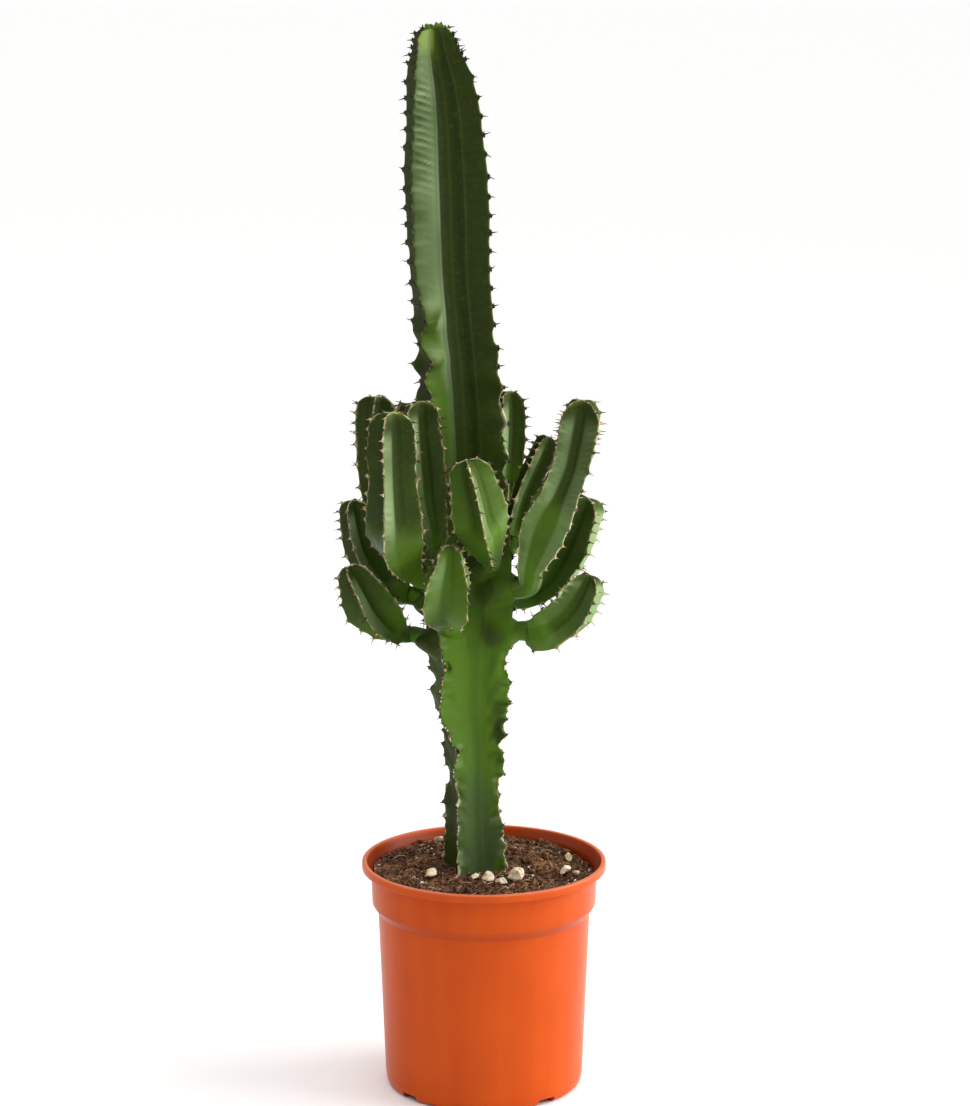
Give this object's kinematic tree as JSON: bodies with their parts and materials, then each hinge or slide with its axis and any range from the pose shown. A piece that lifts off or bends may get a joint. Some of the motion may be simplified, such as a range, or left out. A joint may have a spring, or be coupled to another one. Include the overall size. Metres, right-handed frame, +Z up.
{
  "type": "potted candelabra euphorbia",
  "caption": "Tall ribbed, spiny succulent column with a ring of upturned side branches, standing in soil in a round orange plastic nursery pot.",
  "frame": {"origin": "centre of the pot's flat underside, where it rests on a surface", "axes": "+Z up along the pot's axis; the front of the plant, as pictured, faces -Y"},
  "size_m": [0.2718, 0.2717, 1.0452],
  "materials": {
    "pot": "satin",
    "soil": "matte",
    "skin": "satin",
    "stone": "matte"
  },
  "bodies": {
    "root": {"pot": "pot", "soil": "soil", "main_stem": "skin", "branch_left_back_high": "skin", "branch_left_front_high": "skin", "branch_front_high": "skin", "branch_left_inner": "skin", "branch_front_middle": "skin", "branch_front_low": "skin", "branch_left_middle": "skin", "branch_left_low": "skin", "branch_right_high": "skin", "branch_right_inner": "skin", "branch_back_high": "skin", "branch_right_middle": "skin", "branch_right_low": "skin", "stone_1": "stone", "stone_2": "stone", "stone_3": "stone", "stone_4": "stone", "stone_5": "stone", "stone_6": "stone", "stone_7": "stone", "stone_8": "stone", "stone_9": "stone"}
  },
  "joints": []
}
